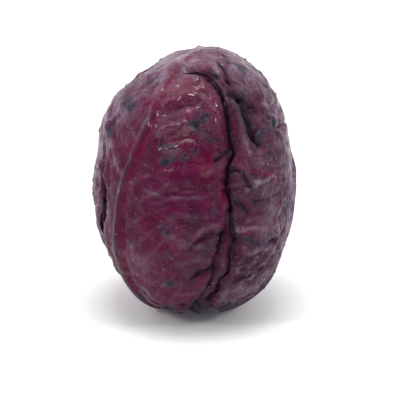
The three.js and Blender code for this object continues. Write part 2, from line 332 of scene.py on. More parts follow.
FOLDS = {
    "front_leaf": [
        # Round the left shoulder
        fold(1.4, 2.4, [(-64, 33), (-68, 43), (-78, 55)], pale=0.65),
        fold(1.4, 3.0, [(-84, 38), (-66, 50), (-58, 80)], pale=0.5),
        fold(1.1, 2.4, [(-72, 26), (-50, 15)], pale=0.4),
        fold(0.9, 1.8, [(-66, 25), (-49, 20)], pale=0.3),
        fold(-1.0, 2.0, [(-62, 23), (-46, 19)], crease=0.3, bruise=0.4),
        fold(-1.0, 1.4, [(-57, 41), (-36, 45)], crease=0.45, blush=0.3),
        fold(0.9, 1.4, [(-46, 42), (-37, 46), (-41, 53)], pale=0.4),
        fold(-0.9, 1.6, [(-40, 24), (-40, 34), (-48, 45)], blush=0.4),
        fold(1.0, 3.0, [(-76, 45), (-56, 53), (-45, 63)], pale=0.4),
        # Beside the midrib
        fold(-0.8, 1.3, [(-33, 20), (-28, 34), (-36, 54)], crease=0.45, blush=0.7),
        fold(0.7, 1.4, [(-37, 22), (-34, 34), (-37, 46)], pale=0.35),
        fold(0.7, 1.3, [(-60, 122), (-59, 100), (-57, 80)], pale=0.7),
        fold(0.6, 1.2, [(-54, 112), (-54, 94), (-56, 76)], pale=0.7),
        fold(0.5, 1.1, [(-50, 104), (-54, 78)], pale=0.6),
        fold(-0.6, 1.3, [(-62, 118), (-61, 90)], crease=0.3, blush=0.6),
        fold(-0.6, 1.2, [(-57, 118), (-56, 87)], crease=0.3, blush=0.5),
        # Bands across the upper front
        fold(-1.7, 1.8, [(-18, 17), (0, 19), (16, 21)], crease=1.0),
        fold(1.0, 1.8, [(-14, 13), (8, 16)], pale=0.4),
        fold(1.8, 2.8, [(-26, 33), (-10, 27), (5, 29)], wet=0.5),
        fold(-1.6, 2.4, [(-24, 36), (-8, 31), (6, 31)], crease=0.15),
        fold(1.8, 2.8, [(-28, 43), (-8, 38), (10, 41)], wet=0.9, pale=0.15),
        fold(-1.8, 2.6, [(-28, 48), (-10, 43), (4, 44)], crease=0.1, blush=0.5),
        fold(1.2, 2.4, [(-20, 48), (-2, 46)], wet=0.9),
        fold(-1.0, 2.6, [(-22, 54), (8, 52)], blush=0.3),
        fold(1.0, 2.4, [(-6, 24), (14, 34)], pale=0.15),
        fold(-1.1, 2.0, [(4, 25), (17, 36)], blush=0.4),
        fold(1.1, 2.6, [(2, 57), (20, 53)], pale=0.1),
        fold(-2.4, 2.6, [(24, 45), (17, 49), (9, 53)], crease=1.0),
        fold(0.6, 2.2, [(16, 60), (14, 72)], blush=0.5),
        # Lower front
        fold(0.6, 1.6, [(-31, 66), (-10, 69), (11, 66)], pale=0.3),
        fold(-0.5, 2.0, [(-28, 70), (8, 71)], crease=0.1),
        fold(0.9, 2.2, [(15, 83), (4, 85), (-9, 95)], pale=0.25),
        fold(-1.3, 1.9, [(15, 87), (5, 89), (-5, 95)], crease=0.75),
        fold(0.8, 2.0, [(-18, 86), (4, 95)], pale=0.25),
        fold(0.9, 2.0, [(-14, 104), (8, 100)], pale=0.15),
        fold(-0.9, 2.0, [(-10, 107), (4, 104)], crease=0.3),
        fold(-2.2, 1.5, [(-8, 117), (2, 111), (10, 105)], crease=0.9),
        fold(1.4, 2.4, [(0, 119), (8, 109)], blush=0.3),
        fold(0.9, 2.2, [(-48, 114), (-28, 134)], pale=0.35),
        fold(0.9, 1.6, [(-12, 124), (0, 122)], pale=0.2),
        fold(-1.8, 2.4, [(-12, 134), (14, 136)], crease=0.95),
        # Painted shade along the bottom rim, next to the floor
        fold(1.6, 2.6, [(-40, 138), (6, 140)], bruise=0.5),
    ],
    "right_leaf": [
        # The deep wedge beside the margin and its branches, with painted shade in their valleys
        fold(2.4, 2.8, [(26, 30), (30, 42), (31, 54)]),
        fold(-5.0, 2.8, [(26, 26), (35, 32), (37, 42), (42, 50)], crease=1.0, bruise=0.6),
        fold(-2.2, 3.6, [(36, 28), (41, 37)], crease=0.4, bruise=0.5),
        fold(-2.6, 1.8, [(33, 29), (42, 33), (46, 38)], crease=1.0),
        fold(-2.4, 2.4, [(30, 14), (32, 20), (29, 26)], crease=1.0),
        fold(-1.8, 1.6, [(14, 16), (24, 23)], crease=1.0),
        fold(-1.6, 1.3, [(28, 23), (36, 31)], crease=0.95),
        # Creases over the top and the right shoulder
        fold(-2.0, 2.2, [(104, 6), (74, 12)], crease=1.0),
        fold(-1.8, 2.0, [(64, 11), (41, 18)], crease=0.9, bruise=0.3),
        fold(-1.4, 2.2, [(44, 17), (67, 24)], crease=0.5, bruise=0.55),
        fold(-2.0, 2.2, [(64, 25), (88, 33)], crease=0.75, bruise=0.4),
        fold(-1.0, 1.1, [(37, 22), (55, 32)], crease=0.6),
        fold(-1.2, 1.3, [(40, 24), (54, 34)], crease=0.5, blush=0.6),
        fold(-1.4, 1.2, [(38, 28), (53, 33)], crease=0.9),
        fold(-1.4, 1.4, [(58, 22), (58, 28), (53, 33)], crease=0.7),
        fold(-1.1, 1.1, [(57, 33), (62, 39)], crease=0.4, blush=0.6),
        fold(1.2, 1.5, [(37, 16), (45, 26)], pale=0.4),
        fold(1.0, 1.8, [(41, 20), (56, 27)], pale=0.35),
        fold(1.2, 1.8, [(70, 21), (82, 28)], pale=0.45),
        fold(1.4, 1.6, [(52, 33), (58, 42), (56, 55)], pale=0.6),
        fold(1.2, 1.6, [(84, 31), (58, 42)], pale=0.5),
        fold(-1.2, 1.6, [(76, 24), (96, 31)], crease=0.5),
        fold(-1.4, 1.7, [(64, 33), (88, 42)], crease=0.45),
        fold(-1.6, 1.7, [(48, 38), (60, 52)], crease=0.6, bruise=0.3),
        fold(-2.6, 1.8, [(56, 45), (98, 48)], crease=0.75),
        fold(1.3, 1.7, [(92, 33), (62, 45)], pale=0.5),
        # Down the right side
        fold(-1.2, 2.4, [(40, 42), (50, 46)], bruise=0.3, blush=0.5),
        fold(-1.2, 1.5, [(33, 53), (47, 52)], crease=0.5),
        fold(1.3, 1.6, [(49, 50), (72, 61)], pale=0.5),
        fold(-2.0, 1.6, [(21, 54), (28, 60), (31, 68)], crease=0.9),
        fold(1.2, 2.0, [(24, 53), (35, 68)], pale=0.15),
        fold(0.9, 1.7, [(25, 56), (49, 64)], blush=0.9),
        fold(1.0, 1.5, [(26, 67), (58, 62)], pale=0.45),
        fold(-2.2, 2.1, [(21, 70), (31, 79)], crease=1.0),
        fold(-1.3, 1.8, [(28, 72), (56, 74)], crease=0.35),
        fold(1.0, 1.8, [(26, 82), (46, 82)], pale=0.2),
        fold(1.3, 2.2, [(19, 86), (42, 88)], pale=0.45),
        fold(0.5, 1.3, [(28, 87), (36, 88)], blush=0.95),
        fold(-2.2, 2.4, [(22, 90), (36, 96), (54, 99)], crease=0.3, bruise=0.75),
        fold(1.5, 1.6, [(60, 62), (58, 77), (49, 88), (51, 96)], pale=0.65),
        fold(1.2, 1.4, [(63, 74), (53, 88)], pale=0.5),
        fold(-0.9, 1.2, [(58, 67), (63, 75)], crease=0.6),
        fold(-1.0, 1.8, [(60, 72), (55, 92)], crease=0.35, bruise=0.3),
        fold(1.3, 1.6, [(56, 99), (45, 108), (30, 117)], pale=0.5),
        fold(1.0, 1.6, [(26, 100), (44, 100)], pale=0.25),
        fold(-1.0, 1.6, [(26, 104), (42, 104)], crease=0.4),
        fold(-1.8, 2.0, [(20, 118), (34, 113), (44, 115)], crease=0.7),
        fold(1.2, 2.0, [(22, 122), (42, 121)], pale=0.2),
        fold(-1.2, 1.6, [(80, 60), (64, 92), (54, 126)], crease=0.3),
    ],
    "left_leaf": [
        fold(1.4, 3.6, [(-61, 72), (-64, 88), (-67, 104)]),
        fold(-1.6, 1.8, [(-60, 64), (-84, 68)], crease=0.5),
        fold(1.2, 3.0, [(-70, 56), (-66, 64)]),
        fold(1.2, 2.5, [(-96, 34), (-70, 52)], pale=0.4),
        fold(-1.0, 1.6, [(-76, 60), (-82, 96)], crease=0.4),
    ],
}

# Stains, washes, painted shade and painted highlight: channel and leaf, then strength, place and radius in
# millimetres
STAINS = {
    # Blue bruises, and painted shade round the bottom rim
    ("bruise", "front_leaf"): [
        (0.8, (-70, 16), 4), (0.7, (-51, 22), 3), (0.75, (-62, 33), 6), (0.7, (-52, 34), 5),
        (0.6, (-66, 47), 5), (0.7, (-76, 50), 4), (0.8, (-21, 46), 3), (0.7, (-14, 46), 3),
        (0.9, (-18, 52), 3), (0.7, (-13, 51), 3), (0.9, (-6, 50), 3), (0.7, (0, 48), 3),
        (0.8, (0, 38), 4), (0.9, (6, 35), 4), (0.5, (6, 43), 6), (0.25, (-5, 61), 3),
        (0.7, (10, 76), 3), (0.7, (-12, 78), 3), (0.5, (-15, 85), 5), (0.4, (-15, 100), 5),
        (0.85, (-14, 116), 4), (0.35, (8, 96), 6),
    ],
    ("bruise", "right_leaf"): [
        (0.7, (44, 45), 6), (0.8, (57, 42), 3), (0.6, (58, 20), 5), (0.5, (36, 37), 8),
        (0.5, (45, 92), 4), (0.4, (46, 22), 8),
    ],
    ("bruise", "left_leaf"): [(0.8, (-94, 28), 4)],
    # From 140 degrees down, painted shade round the bottom rim where the head meets the floor
    ("bruise", "all"): [
        (0.45, (47, 53), 7), (0.8, (-50, 140), 7), (0.9, (-24, 142), 8), (0.9, (0, 141), 8),
        (0.8, (28, 142), 8),
    ],
    # Crimson flushes
    ("blush", "front_leaf"): [
        (0.9, (1, 24), 5), (0.6, (-34, 30), 6), (0.5, (-38, 48), 7), (0.4, (-20, 24), 12),
        (0.5, (-34, 118), 6), (0.45, (4, 54), 9),
    ],
    ("blush", "right_leaf"): [
        (0.7, (50, 64), 3), (0.6, (52, 77), 3), (0.6, (28, 89), 4), (0.5, (45, 50), 6),
        (0.45, (26, 52), 7), (0.3, (20, 10), 16),
    ],
    # Painted shade in creased patches
    ("crease", "front_leaf"): [
        (0.25, (-44, 70), 7), (0.2, (0, 66), 16), (0.35, (14, 44), 8), (0.3, (8, 98), 10),
    ],
    ("crease", "right_leaf"): [(0.5, (35, 35), 8), (0.4, (30, 30), 6), (0.3, (30, 62), 9)],
    # Waxy grey bloom, with painted grazing reflection over the top and down both flanks
    ("pale", "all"): [
        (0.45, (0, 0), 32), (0.4, (-20, 10), 15), (0.3, (-30, 24), 10), (0.3, (-60, 16), 22),
        (0.4, (-80, 36), 16), (0.3, (-58, 36), 12), (0.6, (-85, 66), 17), (0.45, (-76, 52), 12),
        (0.35, (-58, 84), 9), (0.7, (-74, 98), 17), (0.4, (74, 16), 10), (0.3, (52, 25), 12),
        (0.45, (66, 46), 15), (0.4, (74, 66), 11), (0.6, (76, 85), 14), (0.8, (74, 108), 17),
        (0.25, (46, 82), 12),
    ],
    ("pale", "front_leaf"): [(0.2, (-36, 110), 12)],
    # Lighter and darker washes
    ("dusk", "all"): [
        (-0.5, (-60, 62), 11), (-0.45, (-25, 62), 15), (-0.45, (-25, 36), 12), (-0.35, (-20, 88), 16),
        (-0.4, (-30, 112), 15), (-0.3, (-5, 32), 12), (-0.2, (45, 52), 14), (0.35, (5, 78), 16),
        (0.3, (0, 112), 16), (0.3, (-70, 104), 16), (0.3, (-52, 96), 6), (0.2, (-100, 70), 30),
    ],
    ("dusk", "right_leaf"): [(0.2, (34, 110), 18)],
    # Wet patches
    ("wet", "front_leaf"): [
        (0.9, (0, 38), 13), (0.8, (-14, 46), 6), (0.7, (6, 56), 5), (0.6, (-6, 26), 14),
    ],
    ("wet", "right_leaf"): [(0.6, (40, 53), 7), (0.5, (40, 88), 8)],
    # Pin-prick droplets
    ("speckle", "front_leaf"): [(1.0, (-4, 24), 22), (0.8, (0, 38), 16), (0.5, (-40, 34), 16)],
    ("speckle", "right_leaf"): [(0.7, (6, 14), 18), (0.5, (44, 60), 18)],
}
CHANNELS = ("crease", "pale", "blush", "bruise", "wet", "dusk", "speckle", "vein", "rib")


# Step along a drawn line, in millimetres, and how many of its widths away it is still felt
LINE_STEP = 1.2
LINE_RANGE = 3.2


def spline_directions(places):
    """Directions along a smooth line through places."""
    marks = direction(*np.array(places, float).T)
    ends = np.vstack([2 * marks[0] - marks[1], marks, 2 * marks[-1] - marks[-2]])
    line = []
    for k in range(len(marks) - 1):
        p0, p1, p2, p3 = ends[k:k + 4]
        count = max(2, int(np.linalg.norm(p2 - p1) * MEAN_RADIUS / LINE_STEP))
        t = np.linspace(0, 1, count, endpoint=False)[:, None]
        line.append(0.5 * (2 * p1 + (p2 - p0) * t + (2 * p0 - 5 * p1 + 4 * p2 - p3) * t**2
                           + (3 * p1 - p0 - 3 * p2 + p3) * t**3))
    line = np.vstack(line + [marks[-1:]])
    return line / np.linalg.norm(line, axis=1, keepdims=True)


def line_profile(p, places, width):
    """1 on a line, falling to 0 away from it and towards its ends, for points p."""
    line = head_point(spline_directions(places))
    share = np.linspace(0, 1, len(line))
    profile = np.zeros(len(p))
    low, high = line.min(0) - LINE_RANGE * width, line.max(0) + LINE_RANGE * width
    near = np.where(((p > low) & (p < high)).all(1))[0]
    if len(near) == 0:
        return profile
    gaps = np.linalg.norm(p[near][:, None, :] - line[None], axis=2)
    best = gaps.argmin(1)
    away = gaps[np.arange(len(near)), best]
    end = smooth(share[best], -0.04, 0.12) * (1 - smooth(share[best], 0.88, 1.04))
    profile[near] = np.exp(-(away / width) ** 2) * end
    return profile


# Kinds of random fold: drawn below this share, sign, heights, half widths, painted channel, strengths. The
# crease kind is painted shade, the pale kind is bloom with painted highlight, the bruise kind is bruising
# with painted shade in its hollow.
RANDOM_KINDS = [
    (0.4, -1, (0.6, 1.7), (1.2, 2.2), "crease", (0.2, 0.7)),
    (0.8, 1, (0.5, 1.2), (1.4, 3.0), "pale", (0.2, 0.5)),
    (0.9, 1, (0.2, 0.5), (1.0, 1.8), "blush", (0.5, 0.9)),
    (1.0, -1, (0.4, 1.0), (1.6, 2.6), "bruise", (0.4, 0.7)),
]
RANDOM_FOLDS = 60
CREASED_LEAVES = 4
# The front, whose folds all have set places: its middle azimuth, its reach to each side, and where it
# starts below the top
FRONT_MIDDLE = -8
FRONT_REACH = 78
FRONT_TOP = 10
# Where the four places of a random fold lie along it
FOLD_SHARES = np.array([-0.5, -0.17, 0.17, 0.5])


def random_folds(leaf):
    """Short creases, ridges and red marks like the ones with set places, for the sides that have none."""
    folds = []
    for _ in range(RANDOM_FOLDS):
        along = rng.uniform(-62, 62)
        across = rng.uniform(-0.92, 0.92) * outline_reach(leaf, along * 0, np.array(1.0))
        heading = math.radians(rng.uniform(20, 75)) * (1 if across > 0 else -1)
        length = rng.uniform(8, 24)
        bow = rng.uniform(-5, 5)
        line = FOLD_SHARES * length
        bent = bow * (0.25 - FOLD_SHARES * FOLD_SHARES)
        up = along + line * math.cos(heading) + bent * math.sin(heading)
        over = across + line * math.sin(heading) - bent * math.cos(heading)
        n = leaf_direction(leaf, up, over)
        azimuth = np.degrees(np.arctan2(n[:, 0], -n[:, 1]))
        from_top = np.degrees(np.arccos(n[:, 2]))
        unwrapped = np.degrees(np.unwrap(np.radians(azimuth)))
        kind = rng.uniform()
        places = list(zip(unwrapped, from_top))
        _, sign, heights, widths, channel, strengths = next(k for k in RANDOM_KINDS if kind < k[0])
        height = sign * rng.uniform(*heights)
        width = rng.uniform(*widths)
        folds.append(fold(height, width, places, **{channel: rng.uniform(*strengths)}))
    return folds


def hidden_from_front(places):
    """True for a fold that lies off the front."""
    azimuth = (np.array(places)[:, 0] + 180) % 360 - 180
    from_top = np.array(places)[:, 1]
    return bool(((np.abs(azimuth - FRONT_MIDDLE) > FRONT_REACH) | (from_top < FRONT_TOP)).all())


for leaf in LEAVES[:CREASED_LEAVES]:
    hidden = [f for f in random_folds(leaf) if hidden_from_front(f["places"])]
    FOLDS.setdefault(leaf["name"], []).extend(hidden)


# Gap between side veins in millimetres, and how far those of the left half are shifted against the right
VEIN_SPACING = 19.0
VEIN_SHIFT = 0.37
# Size of the small net cells along and across the leaf
NET_CELL = (11, 8.5)


def vein_relief(leaf, along, across, p):
    """Side veins that leave the midrib and climb to the margin, with smaller ones between them."""
    s = along * MM_PER_DEGREE + 3.5 * noise(p, 26, 3)
    t = (across - rib_line(leaf, along)) * MM_PER_DEGREE
    side = np.where(t < 0, VEIN_SHIFT, 0.0)
    reach = np.abs(t)
    spread = np.clip(0.5 + 0.5 * (along + 85) / 90, 0.35, 1.15)
    climb = s - (1.25 - 0.45 * spread) * reach - 0.0035 * reach**2 + 3.0 * noise(p, 13, 5)
    phase = climb / VEIN_SPACING + side
    offset = np.abs(phase - np.round(phase)) * VEIN_SPACING * 0.72
    main = np.exp(-(offset / (1.6 - 0.5 * smooth(reach, 0, 70))) ** 2) * (1 - 0.65 * smooth(reach, 10, 75))
    main = main * smooth(reach, 2, 9) * (0.5 + 0.5 * smooth(noise(p, 20, 6), -0.4, 0.5))
    up, over = s / NET_CELL[0] + 0.3 * noise(p, 8, 8), t / NET_CELL[1] + 0.3 * noise(p, 8, 9)
    border = cell_border(up, over, 11)
    net = np.exp(-(border / 0.13) ** 2) * smooth(reach, 5, 16)
    return main, net, offset


def crumple(p, size, seed):
    """Soft hollows between sharp connected ridges, from 0 to 1."""
    bent = p + 0.45 * size * np.stack([noise(p, size * 1.3, seed + k) for k in (1, 2, 3)], -1)
    one = 1 - np.abs(noise(bent, size, seed)) * 1.7
    two = 1 - np.abs(noise(bent, size * 0.8, seed + 5)) * 1.9
    return np.clip(np.maximum(one, two - 0.12), 0, 1) ** 2.2


def right_side(n):
    """1 on the right of the front seam and round to the right side, 0 on the front and left."""
    azimuth = np.degrees(np.arctan2(n[..., 0], -n[..., 1]))
    return smooth(azimuth, 12, 26) * (1 - smooth(azimuth, 120, 165))


def away_from_front(n):
    """0 on the front, 1 on the sides and the back."""
    azimuth = np.degrees(np.arctan2(n[..., 0], -n[..., 1]))
    return smooth(np.abs(azimuth + 6), 62, 88)


def add_stains(leaf, p, marks):
    """Add a leaf's stains, washes, painted shade and painted highlight to its channels, with ragged
    borders.
    """
    ragged = 1 + 0.4 * rough_noise(p, 6, 61)
    for (channel, name), spots in STAINS.items():
        if name not in (leaf["name"], "all"):
            continue
        for strength, place, radius in spots:
            away = np.linalg.norm(p - head_point(direction(*np.array(place, float))), axis=1)
            marks[channel] += strength * np.exp(-(away * ragged / radius) ** 2.4)


# How much tighter than a fold's relief its painted marks lie along it
CREASE_SHARPNESS = 1.5
MARK_SHARPNESS = 1.3


def add_folds(leaf, p, height, marks):
    """Add a leaf's folds to its height, and paint their marks along them."""
    ragged = p + 1.3 * np.stack([noise(p, 6, seed) for seed in (51, 52, 53)], -1)
    broken = 0.8 + 0.5 * noise(p, 7, 54)
    for f in FOLDS.get(leaf["name"], []):
        profile = line_profile(ragged, f["places"], f["width"])
        height += f["height"] * profile * broken
        for channel, strength in f["paint"].items():
            if strength:
                sharpness = CREASE_SHARPNESS if channel == "crease" else MARK_SHARPNESS
                marks[channel] = np.maximum(marks[channel], strength * profile ** sharpness)


def leaf_relief(leaf, n):
    """Height of a leaf's own relief and its painted channels, at directions n."""
    p = head_point(n)
    along, across = leaf_angles(leaf, n)
    b = along / leaf["reach"][0]
    t = (across - rib_line(leaf, along)) * MM_PER_DEGREE
    inside = -outside_leaf(leaf, n)
    creased = leaf["creased"]
    marks = {name: np.zeros(len(n)) for name in CHANNELS}
    add_stains(leaf, p, marks)

    # Midrib: a flat-topped ridge that widens and rises towards the base
    half = 2.0 + 3.4 * smooth(-b, -0.5, 0.8)
    rib = np.exp(-np.abs(t / half) ** 2.8)
    strong = smooth(-b, -0.75, 0.3)
    height = leaf["rib"] * (0.25 + 0.75 * strong) * rib
    height -= 0.9 * strong * np.exp(-((np.abs(t) - half - 2.4) / 2.4) ** 2)
    marks["rib"] = rib * smooth(-b, -0.95, -0.3)
    # Painted highlight: a thin pale strip down the midrib's left edge, its lit side
    marks["pale"] += 0.55 * strong * np.exp(-((t + half + 0.2) / 0.9) ** 2)
    flush = 0.55 * np.exp(-((t - half - 0.8) / 1.9) ** 2)
    marks["blush"] += flush * (1 - away_from_front(n))

    # Veins, hollows between them, and crumpling
    main, net, gap = vein_relief(leaf, along, across, p)
    calm = 1 - rib
    height += calm * (0.45 * main + 0.14 * net)
    puffed = (1 - np.exp(-(gap / 5.5) ** 2)) * (0.5 + 0.5 * noise(p, 15, 21))
    height += calm * creased * 0.7 * puffed
    stretched = p * np.array([0.62, 0.62, 1.25])
    height += 1.2 * noise(p, 27, 31)
    broad = height.copy()
    height += 1.0 * noise(stretched, 11, 32) * calm
    folds = crumple(stretched, 15, 35)
    small = crumple(p, 7.5, 45)
    rough = creased * smooth(np.abs(t), half, half + 9) * smooth(noise(p, 30, 36), -0.5, 0.3)
    height += rough * (1.7 * folds + 0.6 * small - 0.6)
    height += (0.22 * noise(p, 4.2, 33) + 0.3 * noise(p, 6.5, 38)) * calm
    bubbled = np.clip(marks["speckle"] + marks["wet"], 0, 1.3)
    height += bubbled * (0.34 * noise(p, 3.6, 34) + 0.3 * noise(p, 6, 37))
    # Painted highlight on the crumpled crests, carried in the same channel as the pale veins
    crests = rough * (0.2 * folds**2 + 0.1 * small**2)
    marks["vein"] = np.clip(calm * (0.24 * main + 0.04 * net) + crests, 0, 1)

    # Margin: frilled, and rolled in at the very edge
    frill = np.exp(-inside / 5.0)
    height += frill * (0.9 * noise(p, 9, 41) + 0.4 * noise(p, 4.5, 42))
    height -= 1.5 * (1 - smooth(inside, 0, 2.6))
    height += 0.7 * np.exp(-((inside - 3.6) / 2.0) ** 2)

    add_folds(leaf, p, height, marks)
    # Paler away from the front: waxy bloom with painted grazing reflection on the flanks
    marks["pale"] += 0.34 * smooth(rough_noise(p, 30, 72), -0.35, 0.55) * away_from_front(n)
    marks["dusk"] += 0.14 + 0.44 * right_side(n)

    # Painted highlight on the ridges and painted shade in the hollows
    stands = (height - broad) * (1 - marks["rib"])
    marks["pale"] += (0.08 + 0.13 * creased) * smooth(stands, 0.9, 2.8)
    marks["crease"] = np.maximum(marks["crease"], 0.68 * smooth(-stands, 0.4, 2.3))
    return height, marks


# How many of the outermost leaves press their creases into the ones below
PRESSING_LEAVES = 3


def shape_leaf(order, a, b):
    """Outer surface, in millimetres, and channels of a leaf at grid places a (across) and b (along)."""
    leaf = LEAVES[order]
    across_unit = a * np.sqrt(1 - OUTLINE_SQUARENESS * b * b)
    along_unit = b * np.sqrt(1 - OUTLINE_SQUARENESS * a * a)
    reach = outline_reach(leaf, along_unit, across_unit)
    middle = leaf["sway"] * np.cos(np.pi / 2 * b) * (1 - np.abs(a))
    n = leaf_direction(leaf, along_unit * reach, across_unit * reach + middle)
    inside = -outside_leaf(leaf, n)
    own_tuck = tucked_share(leaf, n)
    depth = TUCK_DEPTH * own_tuck * (1 - smooth(inside, 0, TUCK_WIDTH))
    bare = np.ones(len(n))
    pressed = np.zeros(len(n))
    shadow = np.zeros(len(n))
    for place, outer in enumerate(LEAVES[:order]):
        cover = cover_of(outer, n)
        near = cover > 0
        if near.any() and place < PRESSING_LEAVES:
            own = np.zeros(len(n))
            own[near] = np.minimum(leaf_relief(outer, n[near])[0], 0)
            pressed = np.minimum(pressed, own * cover)
            gap = 1.4 + 0.9 * rough_noise(head_point(n), 8, 71)
            groove = np.exp(-((outside_leaf(outer, n) - 0.5) / gap) ** 2) * (1 - tucked_share(outer, n))
            shadow = np.maximum(shadow, groove)
        depth = depth + LAYER * cover
        bare = bare * (1 - cover)
    relief, marks = leaf_relief(leaf, n)
    raised = relief * bare + pressed - 1.2 * shadow
    marks["crease"] = np.maximum(marks["crease"], 0.9 * shadow)
    p = head_point(n, depth, raised)
    return p, marks


def build_leaf(order, material):
    """Bend a flat grid into one leaf, give it its channels and thicken it inwards."""
    leaf = LEAVES[order]
    bpy.ops.object.select_all(action="DESELECT")
    wide, tall = leaf["cells"]
    bpy.ops.mesh.primitive_grid_add(x_subdivisions=wide, y_subdivisions=tall, size=2)
    piece = bpy.context.object
    piece.name = leaf["name"] + "_blade"
    mesh = piece.data
    flat = np.empty(len(mesh.vertices) * 3)
    mesh.vertices.foreach_get("co", flat)
    flat = flat.reshape(-1, 3)
    p, marks = shape_leaf(order, flat[:, 0], flat[:, 1])
    mesh.vertices.foreach_set("co", (p * MM).ravel())
    for channel in CHANNELS:
        layer = mesh.attributes.new(channel, "FLOAT", "POINT")
        layer.data.foreach_set("value", np.clip(marks[channel], -1, 1).astype(np.float32))
    mesh.update()
    thick = piece.modifiers.new("blade", "SOLIDIFY")
    thick.thickness = BLADE * MM
    thick.offset = -1
    bpy.ops.object.modifier_apply(modifier=thick.name)
    bpy.ops.object.shade_smooth()
    mesh.materials.append(material)
    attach(piece, "root")
    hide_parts(leaf["name"])
    return piece


# ---- Finishes ----
def shade(red, green, blue):
    """A colour given as it looks on a screen, 0 to 255, as the linear value that a socket takes."""
    def linear(value):
        value /= 255
        return value / 12.92 if value <= 0.04045 else ((value + 0.055) / 1.055) ** 2.4
    return (linear(red), linear(green), linear(blue), 1)


class Nodes:
    """Short ways to add and link shader nodes in one tree."""

    def __init__(self, tree):
        self.tree = tree

    def add(self, kind, **settings):
        node = self.tree.nodes.new(kind)
        for name, value in settings.items():
            setattr(node, name, value)
        return node

    def put(self, value, socket):
        if isinstance(value, bpy.types.NodeSocket):
            self.tree.links.new(value, socket)
        else:
            socket.default_value = value

    def fill(self, node, values):
        """Set or link a node's inputs, by their names."""
        for name, value in values.items():
            self.put(value, node.inputs[name])
        return node

    def split(self, vector):
        node = self.add("ShaderNodeSeparateXYZ")
        self.put(vector, node.inputs[0])
        return node.outputs

    def math(self, operation, a, b=0.0, c=0.0, clamp=False):
        node = self.add("ShaderNodeMath", operation=operation, use_clamp=clamp)
        for value, socket in zip((a, b, c), node.inputs):
            self.put(value, socket)
        return node.outputs[0]

    def times(self, a, b, clamp=False):
        return self.math("MULTIPLY", a, b, clamp=clamp)

    def plus(self, a, b, clamp=False):
        return self.math("ADD", a, b, clamp=clamp)

    def minus(self, a, b, clamp=False):
        return self.math("SUBTRACT", a, b, clamp=clamp)

    def place(self, kind="Object"):
        return self.add("ShaderNodeTexCoord").outputs[kind]

    def ramp(self, value, low, high, to_low=0.0, to_high=1.0):
        node = self.add("ShaderNodeMapRange", interpolation_type="SMOOTHSTEP")
        for item, socket in zip((value, low, high, to_low, to_high), node.inputs):
            self.put(item, socket)
        return node.outputs[0]

    def blend(self, factor, a, b, mode="MIX"):
        node = self.add("ShaderNodeMix", data_type="RGBA", blend_type=mode)
        node.clamp_factor = True
        self.put(factor, node.inputs[0])
        self.put(a, node.inputs[6])
        self.put(b, node.inputs[7])
        return node.outputs[2]

    def noise(self, where, scale, detail, roughness, distortion=0.0):
        values = dict(Vector=where, Scale=scale, Detail=detail, Roughness=roughness, Distortion=distortion)
        return self.fill(self.add("ShaderNodeTexNoise"), values).outputs[0]

    def bump(self, height, strength, distance, under=None):
        values = dict(Height=height, Strength=strength, Distance=distance)
        if under is not None:
            values["Normal"] = under
        return self.fill(self.add("ShaderNodeBump"), values).outputs[0]


def new_material(name):
    """A material, the short ways to its nodes, and its surface shader."""
    material = bpy.data.materials.new(name)
    material.use_nodes = True
    return material, Nodes(material.node_tree), material.node_tree.nodes["Principled BSDF"]


def new_group(name, inputs, outputs):
    group = bpy.data.node_groups.new(name, "ShaderNodeTree")
    for title, kind, value in inputs:
        socket = group.interface.new_socket(title, in_out="INPUT", socket_type=kind)
        socket.default_value = value
    for title, kind in outputs:
        group.interface.new_socket(title, in_out="OUTPUT", socket_type=kind)
    nodes = Nodes(group)
    return group, nodes, nodes.add("NodeGroupInput").outputs, nodes.add("NodeGroupOutput").inputs


FLOAT = "NodeSocketFloat"
COLOUR = "NodeSocketColor"
VECTOR = "NodeSocketVector"
MASKS = [channel.title() for channel in CHANNELS]


